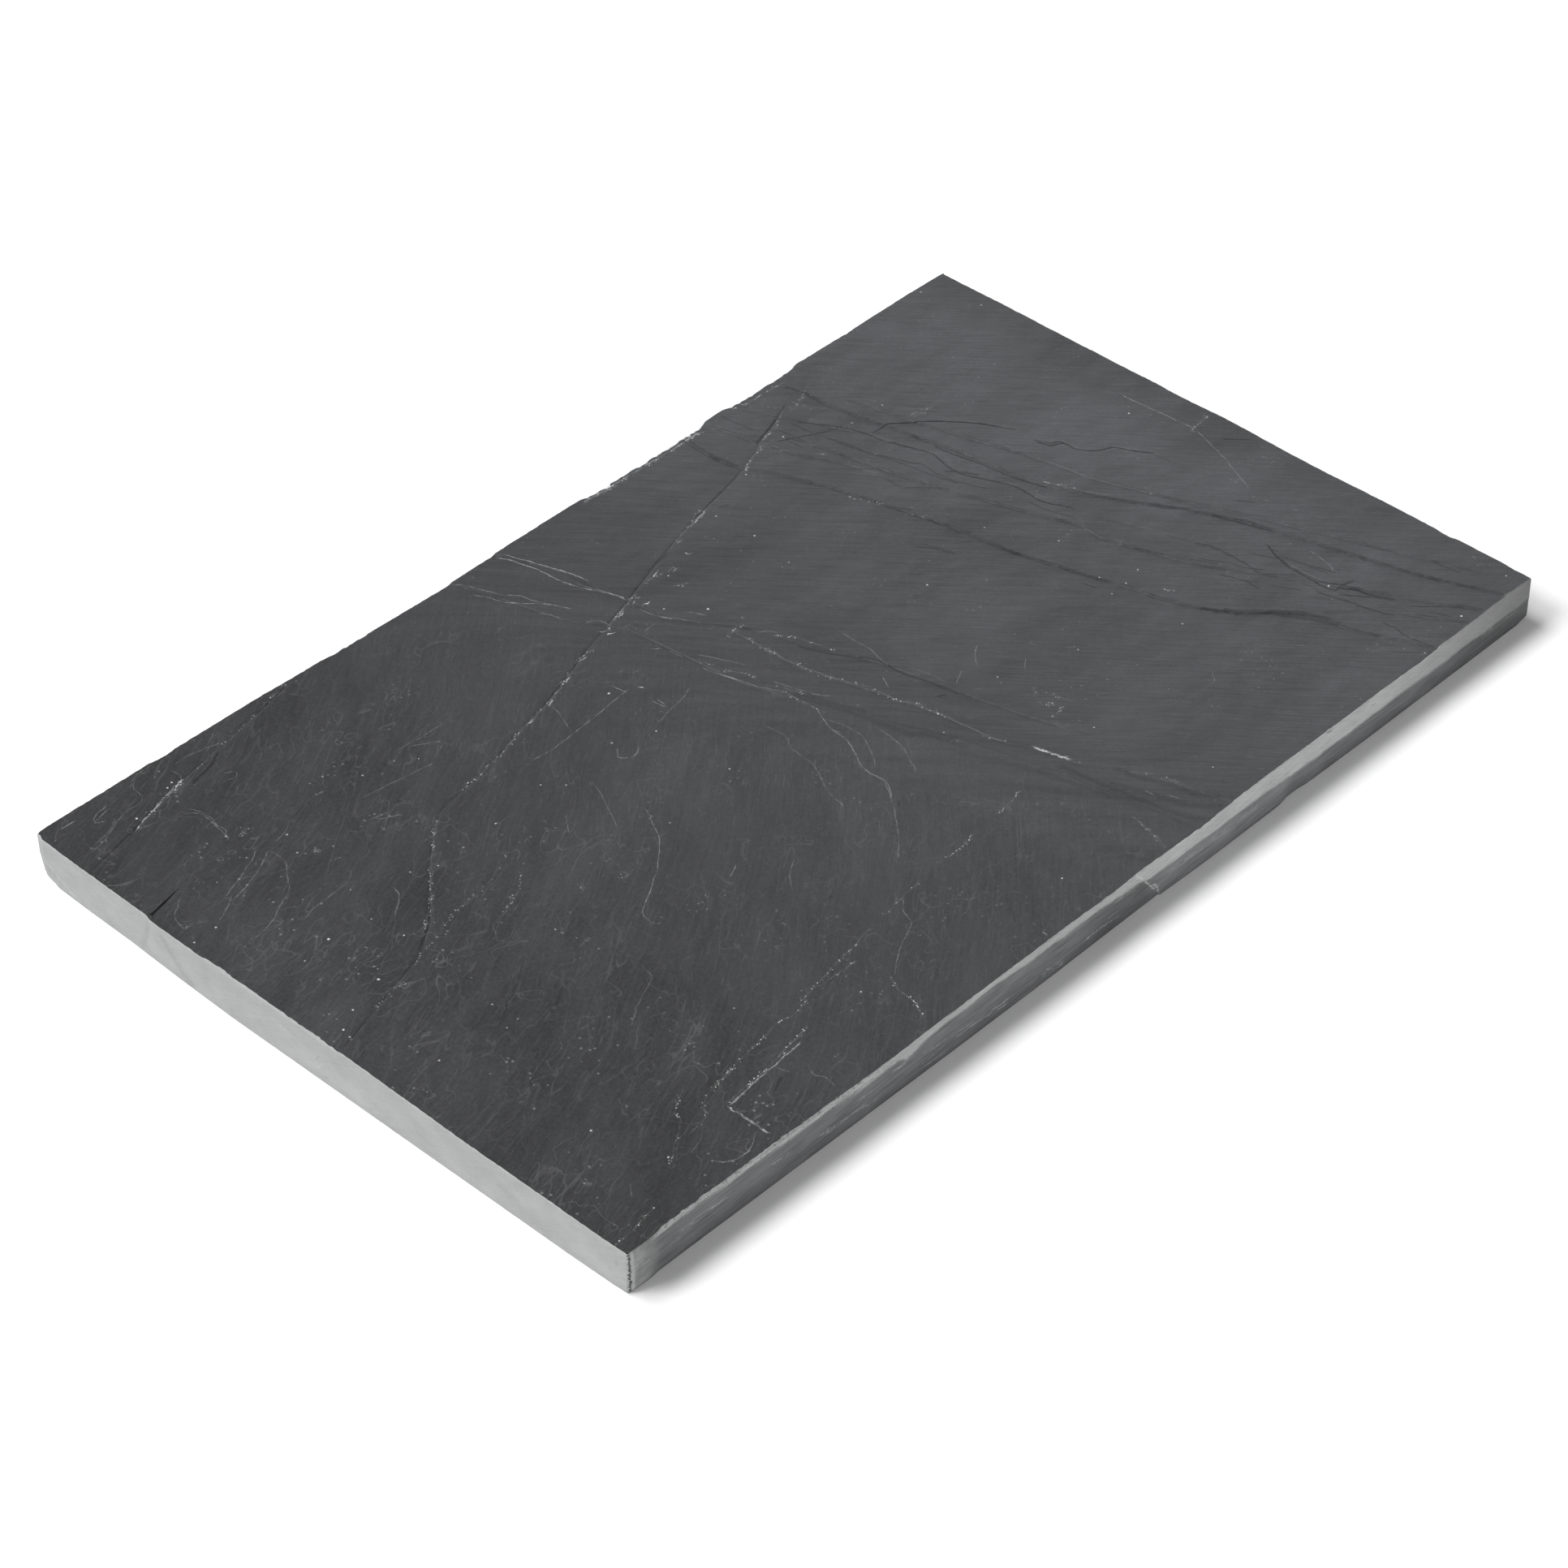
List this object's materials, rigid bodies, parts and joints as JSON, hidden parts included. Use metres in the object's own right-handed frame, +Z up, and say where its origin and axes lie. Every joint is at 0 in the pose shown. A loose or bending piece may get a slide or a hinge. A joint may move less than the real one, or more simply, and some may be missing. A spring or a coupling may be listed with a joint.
{
  "type": "slate slab",
  "caption": "Rectangular slab of natural slate with a riven top, sawn and snapped sides and a flat underside.",
  "frame": {"origin": "middle of the flat underside, at the centre of the slab's outline", "axes": "+X along the long sides, away from the pale sawn short end; +Y across the slab, away from the long side with the sawn and snapped bands; +Z up, out of the riven top"},
  "size_m": [0.8058, 0.5038, 0.0323],
  "materials": {
    "slate": "matte"
  },
  "bodies": {
    "root": {"slab": "slate"}
  },
  "joints": []
}
